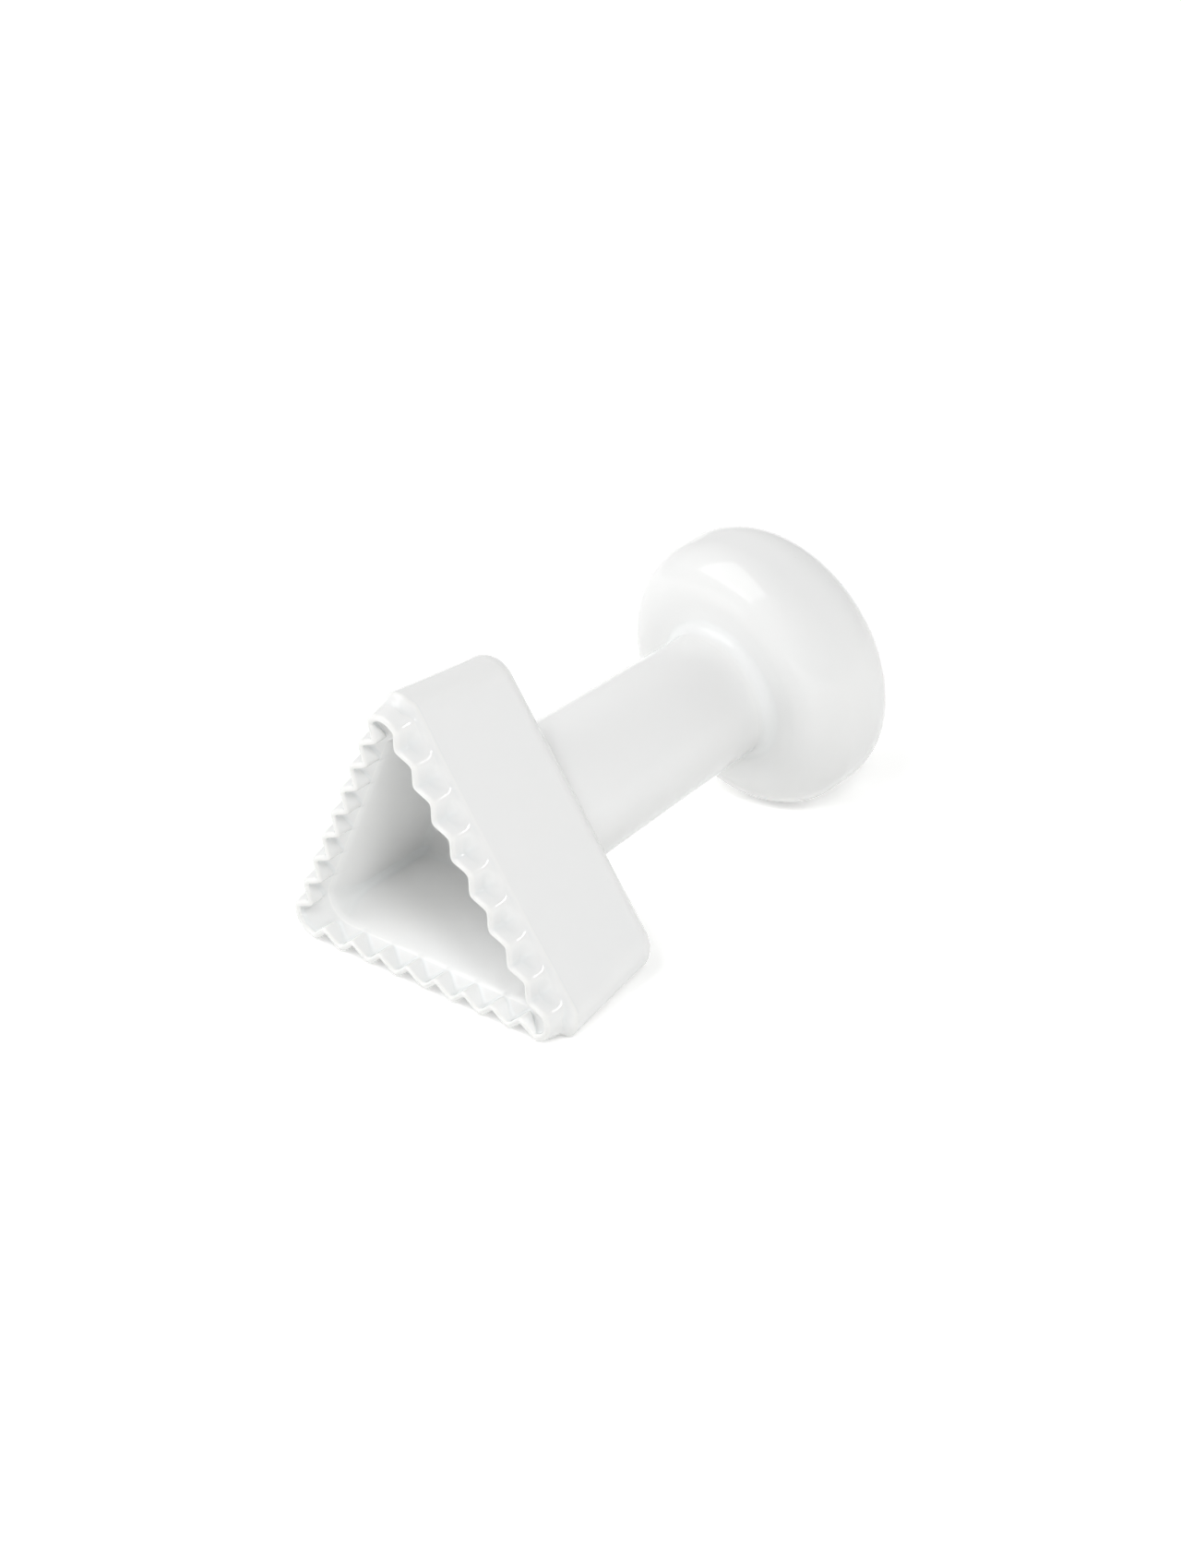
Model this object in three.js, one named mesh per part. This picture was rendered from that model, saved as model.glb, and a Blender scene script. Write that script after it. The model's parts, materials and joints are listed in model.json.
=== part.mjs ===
// Ravioli stamp of glazed porcelain: a three-sided cup with a zigzag cutting rim, a tapered stem and
// a palm knob, cast as separate pieces and luted together with slip.
// Millimetres. The stamp is modelled standing on its rim, with its axis on +Z, and is then laid on its
// side: it rests on one flat side of the cup and on the knob, with the cup open towards -Y.
import * as THREE from "three";

// Driving dimensions of the cup
const cupHeight = 28.1; // rim plane to the flat back
const shoulderHeight = 4.6; // rim plane to the widest line of the cup
const shoulderInradius = 20.7; // axis to a flat side, at the shoulder
const shoulderCorner = 4; // corner radius there
const shoulderRound = 0.8; // rounding of the shoulder's edge
const wallDraft = 1; // how much narrower each side is at the back
const backCorner = 5.3; // corner radius at the back
const backEdge = 4.1; // rounding of the edge round the back
const cupWall = 4.4; // wall thickness at the shoulder
const floorThickness = 2.2;
const cavityDraft = 1.7; // how much narrower each side of the cavity is at its floor
const chamferCorner = 5; // corner radius of the cavity where its chamfer opens at the rim
const mouthCorner = 2.2; // the same at its mouth, where the chamfer ends
const cavityCorner = 0.9; // corner radius where the corner has become a crease
const creaseDepth = 9.4; // how far below the mouth that is
const cavityFillet = 1.5; // rounding between the cavity's walls and floor
const sharpestCorner = 0.5; // least corner radius of an outline that is moved in

// Driving dimensions of the zigzag rim
const teethPerSide = 8;
const rimInradius = 19.7; // axis to the peaks of a side, at the rim
const rimCorner = 4.3; // radius of the wide corner teeth
const cornerWrap = 0.7; // how far the last peak of a side reaches into the corner
const toothDepth = 2.05; // peak to valley
const rimWall = 1.15; // wall of the zigzag band, measured square to the side
const bandFlare = 0.95; // how far the peaks lean out from the rim to the shoulder
const rampSlope = 1.5; // run of the ledge under the shoulder over its rise
const scoopStart = 2.1; // height at which the outer valleys begin to run out into the wall
const chamferHeight = 3.6; // rim plane to the top of the chamfer inside
const peakRounding = 0.8; // 0 gives a sine wave, 1 a sharp zigzag: outer peaks
const valleyRounding = 0.94; // the same for the outer valleys

// Driving dimensions of the stem and its joints
const stemLength = 46.5; // back of the cup to the neck of the knob
const stemFootRadius = 13.3; // where it stands on the cup
const stemTopRadius = 11.7; // where it meets the knob
const stemBore = 8; // radius of the hollow
const jointGap = 0.3; // between pieces that are luted together
const slipThickness = 0.8; // ring of slip under the knob's neck
const spigotLength = 4; // boss and spigot that centre the stem
const spigotChamfer = 0.6;
const beadSize = 1.6; // hollow radius of the slip bead round the foot
const beadEdge = 0.25; // thickness of the bead at its edges

// Driving dimensions of the knob
const knobRadius = 25;
const neckRound = 2; // hollow rounding between the neck and the knob's face
const faceShare = 0.1; // least part of the face that stays flat
const frontRound = 7.8; // rounding of the front lip
const knobSide = 3.7; // straight height of the side
const backRound = 9.5; // rounding towards the back
const knobWall = 5;
const throatWall = 2.2; // wall of the spigot
const footWidth = 3; // flat ring that the knob can stand on
const footRecess = 0.8; // depth of the hollow inside that ring
const ventRadius = 2;

// Fineness of the facets
const toothSteps = 6;
const cornerSteps = 8;
const roundSteps = 48; // around the axis
const arcSteps = 4; // along a rounding
const shoulderRows = [0, 0.5, 1]; // rings on the shoulder's rounding, as shares of its depth
const bandRows = [0.89, 0.77, 0.65, 0.53, 0]; // rings below it, as shares of the height left
const chamferRows = [0, 0.38, 0.64, 0.86, 1]; // rings inside, as shares of the chamfer's height
const creaseRows = [0.25, 0.55, 1]; // rings below the mouth, as shares of the depth of the crease

// Sizes that follow
const neckRadius = stemTopRadius;
const neckHeight = cupHeight + stemLength;
const lipRadius = knobRadius - frontRound;
const neckFillet = Math.min(neckRound, (1 - faceShare) * (lipRadius - neckRadius));
const knobFront = neckHeight + neckFillet;
const knobBack = knobFront + frontRound + knobSide + backRound;
const stemFoot = cupHeight + jointGap;
const stemTop = neckHeight - slipThickness - 2 * jointGap;
const spigotRadius = stemBore - jointGap;
const cavityInradius = shoulderInradius - cupWall;

function porcelain(roughness) {
  return new THREE.MeshStandardMaterial({ color: 0xf3f2ee, roughness, metalness: 0 });
}

// Points of a round arc, from one angle to another in degrees, both ends included.
function arc(centreX, centreY, radius, from, to) {
  const points = [];
  for (let i = 0; i <= arcSteps; i++) {
    const angle = THREE.MathUtils.degToRad(from + ((to - from) * i) / arcSteps);
    points.push([centreX + radius * Math.cos(angle), centreY + radius * Math.sin(angle)]);
  }
  return points;
}

// A closed profile of [radius, height] points turned about the +Z axis.
function turned(profile) {
  const points = [...profile, profile[0]].map(([radius, height]) => new THREE.Vector2(radius, height));
  return new THREE.LatheGeometry(points, roundSteps).rotateX(Math.PI / 2);
}

// Rounded triangles

// Half of a side's length along the outline, from its middle to the tip of the corner.
function halfSide(inradius, corner) {
  return Math.sqrt(3) * (inradius - corner) + (corner * Math.PI) / 3;
}

// Point of a rounded triangle at a length along the outline from the middle of a side, moved in by inset.
function outlinePoint(inradius, corner, column, inset) {
  const straight = Math.sqrt(3) * (inradius - corner);
  const innerCorner = Math.max(corner - inset, Math.min(corner, sharpestCorner));
  const innerStraight = Math.sqrt(3) * (inradius - inset - innerCorner);
  const onSide = THREE.MathUtils.clamp(column.along, -straight, straight);
  const turn = (column.along - onSide) / corner;
  const across = (straight > 0 ? (onSide * innerStraight) / straight : 0) + innerCorner * Math.sin(turn);
  const out = inradius - inset - innerCorner + innerCorner * Math.cos(turn);
  return new THREE.Vector2(across, out).rotateAround(new THREE.Vector2(), (-column.side * 2 * Math.PI) / 3);
}

const rimHalfSide = halfSide(rimInradius, rimCorner);
const toothedHalf = Math.sqrt(3) * (rimInradius - rimCorner) + cornerWrap;

// Tooth wave: 0 on a peak, 1 in a valley, with peaks rounder than valleys.
function toothWave(phase) {
  const swing = Math.cos(2 * Math.PI * phase);
  const bent = (k) => Math.asin(k * swing) / k;
  const peak = Math.asin(peakRounding) / peakRounding;
  const valley = Math.asin(valleyRounding) / valleyRounding;
  const height = bent(swing > 0 ? peakRounding : valleyRounding);
  return (peak - height) / (peak + valley);
}

// Columns of the cup's mesh on one outline: the teeth of each side, then the corner after it.
// Teeth run straight along the axis where keepPitch holds, and share the outline out where it doesn't.
function columns(inradius, corner, keepPitch) {
  const half = halfSide(inradius, corner);
  const toothed = keepPitch ? toothedHalf : (toothedHalf * half) / rimHalfSide;
  const steps = teethPerSide * toothSteps;
  const list = [];
  for (let side = 0; side < 3; side++) {
    for (let i = 0; i < steps; i++) {
      const along = toothed * ((2 * i) / steps - 1);
      list.push({ side, along, wave: toothWave(i / toothSteps) });
    }
    for (let i = 0; i < cornerSteps; i++) {
      const past = toothed + ((half - toothed) * 2 * i) / cornerSteps;
      const next = past > half;
      list.push({ side: side + (next ? 1 : 0), along: next ? past - 2 * half : past, wave: 0 });
    }
  }
  return list;
}

// One ring of the cup: a rounded triangle at a height.
function ring(inradius, corner, height, keepPitch = false, inset = () => 0) {
  return columns(inradius, corner, keepPitch).map((column) => {
    const point = outlinePoint(inradius, corner, column, inset(column.wave));
    return new THREE.Vector3(point.x, point.y, height);
  });
}

// Ring at a height where the rays from the axis through another ring's points meet a rounded triangle.
function rayRing(inradius, corner, height, through) {
  const centre = 2 * (inradius - corner);
  const roundStart = Math.atan2(Math.sqrt(3) * (inradius - corner), inradius);
  return through.map((point) => {
    const turn = Math.atan2(point.x, point.y);
    const third = Math.PI / 3;
    const fromMiddle = Math.abs(THREE.MathUtils.euclideanModulo(turn + third, 2 * third) - third);
    const aside = centre * Math.sin(third - fromMiddle);
    const onRound = centre * Math.cos(third - fromMiddle) + Math.sqrt(Math.max(corner ** 2 - aside ** 2, 0));
    const length = fromMiddle > roundStart ? onRound : inradius / Math.cos(fromMiddle);
    return new THREE.Vector3(length * Math.sin(turn), length * Math.cos(turn), height);
  });
}

// The points of two rings that stand further from the axis, or nearer to it.
const reach = (point) => Math.hypot(point.x, point.y);
const outermost = (one, two) => one.map((point, i) => (reach(point) > reach(two[i]) ? point : two[i]));
const innermost = (one, two) => one.map((point, i) => (reach(point) < reach(two[i]) ? point : two[i]));

// A solid lofted through rings that share their columns, closed by a point on the axis at each end.
function lofted(firstHeight, rings, lastHeight) {
  const count = rings[0].length;
  const positions = [0, 0, firstHeight];
  rings.flat().forEach((point) => positions.push(point.x, point.y, point.z));
  positions.push(0, 0, lastHeight);
  const last = positions.length / 3 - 1;
  const index = [];
  for (let i = 0; i < count; i++) {
    const next = (i + 1) % count;
    index.push(0, 1 + next, 1 + i);
    for (let k = 0; k + 1 < rings.length; k++) {
      const row = 1 + k * count;
      const below = row + count;
      index.push(row + i, row + next, below + next, row + i, below + next, below + i);
    }
    index.push(last, last - count + i, last - count + next);
  }
  const geometry = new THREE.BufferGeometry();
  geometry.setAttribute("position", new THREE.Float32BufferAttribute(positions, 3));
  geometry.setIndex(index);
  geometry.computeVertexNormals();
  return geometry;
}

// Cup

// Ring of the round boss that centres the stem.
const bossRing = (radius, height) => ring(radius, radius, height);

// How far the shoulder has drawn in at a height below its widest line: its rounding, then a straight ledge.
const rampStart = (shoulderRound * rampSlope) / Math.hypot(1, rampSlope);
function shoulderInset(height) {
  const below = shoulderHeight - height;
  const onArc = Math.min(below, rampStart);
  const rounding = shoulderRound - Math.sqrt(shoulderRound ** 2 - onArc ** 2);
  return rounding + rampSlope * (below - onArc);
}

// Depth of the outer valleys at a height: whole near the rim, then run out as half a cosine wave.
function valleyDepth(height) {
  const runOut = THREE.MathUtils.clamp((height - scoopStart) / (shoulderHeight - scoopStart), 0, 1);
  return toothDepth * (0.5 + 0.5 * Math.cos(Math.PI * runOut));
}

// Outside of the zigzag band at a height: the band, or the shoulder where it stands further out, both
// with the valleys scooped out of them.
function outerBand(height) {
  const lean = (bandFlare * height) / shoulderHeight;
  const depth = valleyDepth(height);
  const drawnIn = shoulderInset(height);
  const band = ring(rimInradius + lean, rimCorner + lean, height, true, (wave) => wave * depth);
  const shoulder = ring(shoulderInradius, shoulderCorner, height, true, (wave) => drawnIn + wave * depth);
  return outermost(band, shoulder);
}

// Inside of the band at a height: the teeth from behind, or the chamfer where it stands nearer.
function innerBand(height) {
  const teeth = ring(rimInradius, rimCorner, height, true, (wave) => rimWall + wave * toothDepth);
  const opened = cavityInradius + chamferHeight - height;
  const sharp = ring(rimInradius, rimCorner, height, true, () => rimInradius - opened);
  const corner = THREE.MathUtils.mapLinear(height, 0, chamferHeight, chamferCorner, mouthCorner);
  return innermost(teeth, rayRing(opened, corner, height, sharp));
}

function cutterCupGeometry() {
  const rings = [];
  rings.push(bossRing(spigotRadius - spigotChamfer, cupHeight + spigotLength));
  rings.push(bossRing(spigotRadius, cupHeight + spigotLength - spigotChamfer));
  rings.push(bossRing(spigotRadius, cupHeight));
  const backInradius = shoulderInradius - wallDraft;
  for (const [inset, rise] of arc(backEdge, cupHeight - backEdge, backEdge, 90, 180)) {
    rings.push(ring(backInradius, backCorner, rise, false, () => inset));
  }
  shoulderRows.forEach((share) => rings.push(outerBand(shoulderHeight - rampStart * share)));
  bandRows.forEach((share) => rings.push(outerBand((shoulderHeight - rampStart) * share)));
  chamferRows.forEach((share) => rings.push(innerBand(chamferHeight * share)));
  const mouth = rings[rings.length - 1];
  const floorHeight = cupHeight - floorThickness;
  const filletFoot = floorHeight - cavityFillet;
  creaseRows.forEach((share) => {
    const below = creaseDepth * share;
    const inradius = cavityInradius - (cavityDraft * below) / (filletFoot - chamferHeight);
    const corner = cavityCorner + (mouthCorner - cavityCorner) * (1 - share) ** 2;
    rings.push(rayRing(inradius, corner, chamferHeight + below, mouth));
  });
  const floorInradius = cavityInradius - cavityDraft;
  for (const [inset, rise] of arc(cavityFillet, filletFoot, cavityFillet, 180, 90)) {
    const corner = Math.max(cavityCorner - inset, sharpestCorner);
    rings.push(rayRing(floorInradius - inset, corner, rise, mouth));
  }
  return lofted(cupHeight + spigotLength, rings, floorHeight);
}

// Stem and slip

function stemRadiusAt(height) {
  return THREE.MathUtils.mapLinear(height, cupHeight, neckHeight, stemFootRadius, stemTopRadius);
}

function stemGeometry() {
  return turned([
    [stemBore, stemFoot],
    [stemRadiusAt(stemFoot), stemFoot],
    [stemRadiusAt(stemTop), stemTop],
    [stemBore, stemTop],
  ]);
}

// Bead of slip in the corner between the stem and the back of the cup, hollow outside.
function cupBeadGeometry() {
  const foot = cupHeight + jointGap;
  const top = foot + beadEdge + beadSize;
  const inner = (height) => stemRadiusAt(height) + jointGap;
  const hollowRadius = inner(top) + beadEdge + beadSize;
  return turned([
    [inner(foot), foot],
    [hollowRadius, foot],
    ...arc(hollowRadius, top, beadSize, 270, 180),
    [inner(top), top],
  ]);
}

function knobRingGeometry() {
  const foot = stemTop + jointGap;
  const inner = spigotRadius + jointGap;
  return turned([
    [inner, foot],
    [neckRadius, foot],
    [neckRadius, foot + slipThickness],
    [inner, foot + slipThickness],
  ]);
}

// Knob

// Outside: spigot, neck, face, lip, side, rounded back and foot ring. Inside: the hollow left by casting.
function knobGeometry() {
  const footRadius = knobRadius - backRound;
  const footInner = footRadius - footWidth;
  const sideFoot = knobFront + frontRound;
  const spigotFoot = neckHeight - spigotLength;
  const throat = spigotRadius - throatWall;
  const hollowRadius = knobRadius - knobWall;
  const frontHollow = Math.max(frontRound - knobWall, spigotChamfer);
  const backHollow = Math.max(backRound - knobWall, spigotChamfer);
  const hollowFoot = knobFront + knobWall;
  const hollowTop = knobBack - footRecess - knobWall;
  const recess = knobBack - footRecess;
  return turned([
    [throat, spigotFoot],
    [spigotRadius - spigotChamfer, spigotFoot],
    [spigotRadius, spigotFoot + spigotChamfer],
    [spigotRadius, neckHeight],
    ...arc(neckRadius + neckFillet, neckHeight, neckFillet, 180, 90),
    ...arc(lipRadius, sideFoot, frontRound, -90, 0),
    ...arc(footRadius, sideFoot + knobSide, backRound, 0, 90),
    [footInner, knobBack],
    [footInner, recess],
    [ventRadius, recess],
    [ventRadius, hollowTop],
    ...arc(hollowRadius - backHollow, hollowTop - backHollow, backHollow, 90, 0),
    ...arc(hollowRadius - frontHollow, hollowFoot + frontHollow, frontHollow, 0, -90),
    [throat, hollowFoot],
  ]);
}

// Assembly

function piece(name, geometry, roughness) {
  const mesh = new THREE.Mesh(geometry, porcelain(roughness));
  mesh.name = name;
  return mesh;
}

const stamp = new THREE.Group();
stamp.add(piece("cutter_cup", cutterCupGeometry(), 0.12));
stamp.add(piece("cup_luting_bead", cupBeadGeometry(), 0.14));
stamp.add(piece("stem", stemGeometry(), 0.12));
stamp.add(piece("knob_luting_ring", knobRingGeometry(), 0.14));
stamp.add(piece("knob", knobGeometry(), 0.12));

// Angle at which the stamp lies: the surface touches the shoulder's rounding and the knob's front
// rounding, so it is the common tangent of those two circles.
function layingAngle() {
  const across = lipRadius - (shoulderInradius - shoulderRound);
  const along = knobFront + frontRound - shoulderHeight;
  return Math.acos((shoulderRound - frontRound) / Math.hypot(across, along)) - Math.atan2(along, across);
}

stamp.rotation.x = layingAngle() - Math.PI / 2;
const group = new THREE.Group();
group.add(stamp);
group.updateMatrixWorld(true);

// The origin is under the middle of the part's box, on the surface that it lies on.
const box = new THREE.Box3().setFromObject(group, true);
const middle = box.getCenter(new THREE.Vector3());
stamp.position.set(-middle.x, -middle.y, -box.min.z);

export default group;
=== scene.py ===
import json
import math

import bpy
import numpy as np
from mathutils import Matrix, Vector


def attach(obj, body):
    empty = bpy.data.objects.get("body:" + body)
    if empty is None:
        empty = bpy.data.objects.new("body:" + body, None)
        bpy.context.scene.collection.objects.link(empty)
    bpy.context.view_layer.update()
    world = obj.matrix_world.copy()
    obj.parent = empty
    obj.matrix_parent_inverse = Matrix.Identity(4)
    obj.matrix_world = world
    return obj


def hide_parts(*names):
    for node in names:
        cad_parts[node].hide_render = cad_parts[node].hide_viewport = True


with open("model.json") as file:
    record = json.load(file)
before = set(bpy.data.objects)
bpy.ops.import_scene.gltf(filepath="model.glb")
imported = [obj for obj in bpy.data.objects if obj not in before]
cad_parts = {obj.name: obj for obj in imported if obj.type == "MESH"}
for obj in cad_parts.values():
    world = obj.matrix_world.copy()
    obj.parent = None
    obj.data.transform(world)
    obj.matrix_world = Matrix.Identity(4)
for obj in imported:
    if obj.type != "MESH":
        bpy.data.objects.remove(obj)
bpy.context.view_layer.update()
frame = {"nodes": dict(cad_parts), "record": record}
mm = 0.001  # shapes are worked out in millimetres, Blender takes metres
root3 = math.sqrt(3)
print("frame:", ", ".join(sorted(frame["nodes"])))

# Every shape is worked out on the stamp standing on its rim: x across, y towards the flat side that it
# lies on, and the third number up the axis from the middle of the rim.


# Surfaces and meshes

# The larger or the smaller of two lengths. Where they differ by less than blend, the crease between them is
# filled by the square of what is left of blend, over four times blend.
def softMax(one, two, blend):
    left = np.maximum(blend - np.abs(one - two), 0)
    return np.maximum(one, two) + left**2 / (4 * blend)


def softMin(one, two, blend):
    return -softMax(-one, -two, blend)


# Points of a round arc in a profile, from one angle to another in degrees, both ends included.
def arcPoints(centreRadius, centreHeight, radius, fromDegrees, toDegrees, steps):
    angle = np.radians(np.linspace(fromDegrees, toDegrees, steps + 1))
    return np.stack([centreRadius + radius * np.cos(angle), centreHeight + radius * np.sin(angle)], -1)


# Straight stretch of a profile, both ends included.
def linePoints(start, end, steps):
    share = np.linspace(0, 1, steps + 1)[:, None]
    return np.array(start) * (1 - share) + np.array(end) * share


# A closed profile of (radius, height) points carried round the axis: rows follow the profile.
def turnedGrid(profile, columns):
    angle = np.linspace(0, 2 * np.pi, columns, endpoint=False)
    radius, height = profile.T
    x = radius[:, None] * np.cos(angle)
    y = radius[:, None] * np.sin(angle)
    return np.stack([x, y, np.repeat(height[:, None], columns, 1)], -1)


# Steps from each grid point to its four neighbours. Columns always wrap, rows only on a closed profile.
def neighbours(grid, rowsWrap):
    before = np.roll(grid, 1, 0)
    after = np.roll(grid, -1, 0)
    if not rowsWrap:
        before[0] = 2 * grid[0] - grid[1]
        after[-1] = 2 * grid[-1] - grid[-2]
    return before - grid, after - grid, np.roll(grid, 1, 1) - grid, np.roll(grid, -1, 1) - grid


# Unit normal at each grid point: the cross product of its two central differences.
def gridNormals(grid, rowsWrap):
    before, after, left, right = neighbours(grid, rowsWrap)
    normal = np.cross(right - left, after - before)
    return normal / np.maximum(np.linalg.norm(normal, axis=-1, keepdims=True), 1e-9)


# Hollowness at each grid point, per millimetre: along rows and along columns, the bend of the surface
# towards its normal over the two neighbouring steps. Above 0 in a crease, below 0 on an edge.
def hollowness(grid, normal, rowsWrap):
    total = np.zeros(grid.shape[:2])
    before, after, left, right = neighbours(grid, rowsWrap)
    for one, two in ((before, after), (left, right)):
        oneLength = np.maximum(np.linalg.norm(one, axis=-1, keepdims=True), 1e-3)
        twoLength = np.maximum(np.linalg.norm(two, axis=-1, keepdims=True), 1e-3)
        bend = 2 * (one / oneLength + two / twoLength) / (oneLength + twoLength)
        total += (bend * normal).sum(-1)
    return total


glaze = {
    "rippleHeight": 0.018,  # unevenness of the glaze as it ran and set
    "rippleLengths": (31, 23, 17, 13, 9.5),  # its wavelengths
    "rippleSeed": 4,
    "poolAndShadeBend": 0.9,  # hollowness, per millimetre, at which a crease is full of glaze and of painted shade
    "thinBend": 1.6,  # sharpness at which an edge has least glaze
    "sharpEdge": 60,  # degrees between faces above which an edge is drawn sharp, as at the joints
}


# Unevenness at each point: a few sine waves through space, each with its own direction and phase.
def glazeRipple(grid):
    random = np.random.default_rng(glaze["rippleSeed"])
    total = np.zeros(grid.shape[:2])
    for length in glaze["rippleLengths"]:
        direction = random.normal(size=3)
        direction /= np.linalg.norm(direction)
        total += np.sin(2 * np.pi * (grid @ direction) / length + random.uniform(0, 2 * np.pi))
    return total / len(glaze["rippleLengths"])


# Where the stamp lies. Its axis and the rim's plane come from the record's rim mount, and its height from
# the shoulder's flat side, which touches the floor.
rimMount = next(mount for mount in frame["record"]["mounts"] if mount["name"] == "cutting_rim")
stampAxis = -np.array(rimMount["axis"])
stampDown = np.array([0, stampAxis[2], -stampAxis[1]])
stampAcross = np.array([1.0, 0, 0])


# Points of the standing stamp, in millimetres, turned to where it lies, in metres.
def laidDown(points):
    turned = points[..., :1] * stampAcross + points[..., 1:2] * stampDown + points[..., 2:] * stampAxis
    return (turned + rimCentre) * mm


# A closed mesh from a grid whose columns wrap. Rows wrap too, or each end is closed by a point on the axis.
# Two values per point are kept for the glaze: how far it pools there, which also paints shade into creases,
# and how thin it lies on an edge.
def gridPiece(name, grid, materials, ends=None, bareRows=()):
    rowsWrap = ends is None
    rows, columns = grid.shape[:2]
    row = np.arange(rows if rowsWrap else rows - 1)[:, None]
    column = np.arange(columns)[None, :]
    nextRow = (row + 1) % rows
    nextColumn = (column + 1) % columns
    start, finish = row * columns, nextRow * columns
    quads = np.stack([start + column, start + nextColumn, finish + nextColumn, finish + column], -1)
    quads = quads.reshape(-1, 4)
    one, two, three = (grid.reshape(-1, 3)[quads[:, number]] for number in range(3))
    inward = (one * np.cross(two, three)).sum() < 0  # the sum has the volume's sign, below 0 if inside out
    normal = gridNormals(grid, rowsWrap) * (-1 if inward else 1)
    bend = hollowness(grid, normal, rowsWrap)
    # How far glaze pools in a crease. Its darker tint also paints shade there.
    poolAndShade = np.clip(bend / glaze["poolAndShadeBend"], 0, 1)
    thin = np.clip(-bend / glaze["thinBend"], 0, 1)
    points = (grid + normal * (glaze["rippleHeight"] * glazeRipple(grid))[..., None]).reshape(-1, 3)
    faces = (quads[:, ::-1] if inward else quads).tolist()
    faceRows = np.repeat(row[:, 0], columns).tolist()
    poolAndShade, thin = poolAndShade.ravel(), thin.ravel()
    if ends is not None:
        points = np.vstack([points, np.array([[0, 0, height] for height in ends])])
        poolAndShade, thin = np.append(poolAndShade, [0, 0]), np.append(thin, [0, 0])
        around = np.arange(columns)
        following = (around + 1) % columns
        last = (rows - 1) * columns
        firstCap = np.stack([np.full(columns, rows * columns), following, around], -1)
        lastCap = np.stack([np.full(columns, rows * columns + 1), last + around, last + following], -1)
        caps = np.vstack([firstCap, lastCap])
        faces += (caps[:, ::-1] if inward else caps).tolist()
        faceRows += [-1] * len(caps)
    mesh = bpy.data.meshes.new(name)
    mesh.from_pydata(laidDown(points).tolist(), [], faces)
    mesh.polygons.foreach_set("use_smooth", np.ones(len(faces), bool))
    mesh.set_sharp_from_angle(angle=math.radians(glaze["sharpEdge"]))
    for label, values in (("glazePoolAndShade", poolAndShade), ("glazeThin", thin)):
        mesh.attributes.new(label, "FLOAT", "POINT").data.foreach_set("value", values.astype(np.float32))
    for material in materials:
        mesh.materials.append(material)
    bare = np.isin(np.array(faceRows), np.array(list(bareRows), int))
    mesh.polygons.foreach_set("material_index", bare.astype(np.int32))
    mesh.update()
    piece = bpy.data.objects.new(name, mesh)
    bpy.context.scene.collection.objects.link(piece)
    print("made", name, "with", len(faces), "faces")
    return piece


# Materials

# sRGB hex colour to linear values.
def linearColour(hexColour):
    channels = np.array([int(hexColour[i:i + 2], 16) for i in (1, 3, 5)]) / 255
    low, high = channels / 12.92, ((channels + 0.055) / 1.055) ** 2.4
    return (*np.where(channels <= 0.04045, low, high).tolist(), 1.0)


# One node: settings are its own properties, inputs are values or the sockets that feed it.
def addNode(tree, kind, settings=None, inputs=None):
    node = tree.nodes.new(kind)
    for label, value in (settings or {}).items():
        setattr(node, label, value)
    for label, value in (inputs or {}).items():
        if isinstance(value, bpy.types.NodeSocket):
            tree.links.new(value, node.inputs[label])
        else:
            node.inputs[label].default_value = value
    return node


# Glazed porcelain: a white fired body under a clear glossy glaze. The eye gets a milky white with soft
# wavering reflections, a cooler, darker tint where glaze pools in creases, which also paints shade there, a
# warmer one where it thins on edges, and a few fine specks fired into it.
porcelainLook = {
    "body": "#eeeeed",
    # darker, cooler pooled glaze in creases, which is also painted crease shade
    "pooledAndShade": "#e9ebeb",
    "thinned": "#f1f1ef",
    "cloud": "#ebecec",  # faint clouds in the body
    "speck": "#b9aea0",
    "cloudSize": 22,  # millimetres
    "speckSpacing": 9.0,
    "speckRadius": 0.12,
    "speckCore": 0.4,  # share of that radius with the full colour
    "speckStrength": 0.8,
    "peelSize": 4.5,  # orange peel of the glaze
    "peelHeight": 0.006,
    "smearSize": 12,  # patches of duller glaze
    "smearRange": (0.3, 0.7),  # noise values of the glossiest and the dullest glaze
    "roughness": (0.035, 0.07),
    "ior": 1.52,
}


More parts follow.
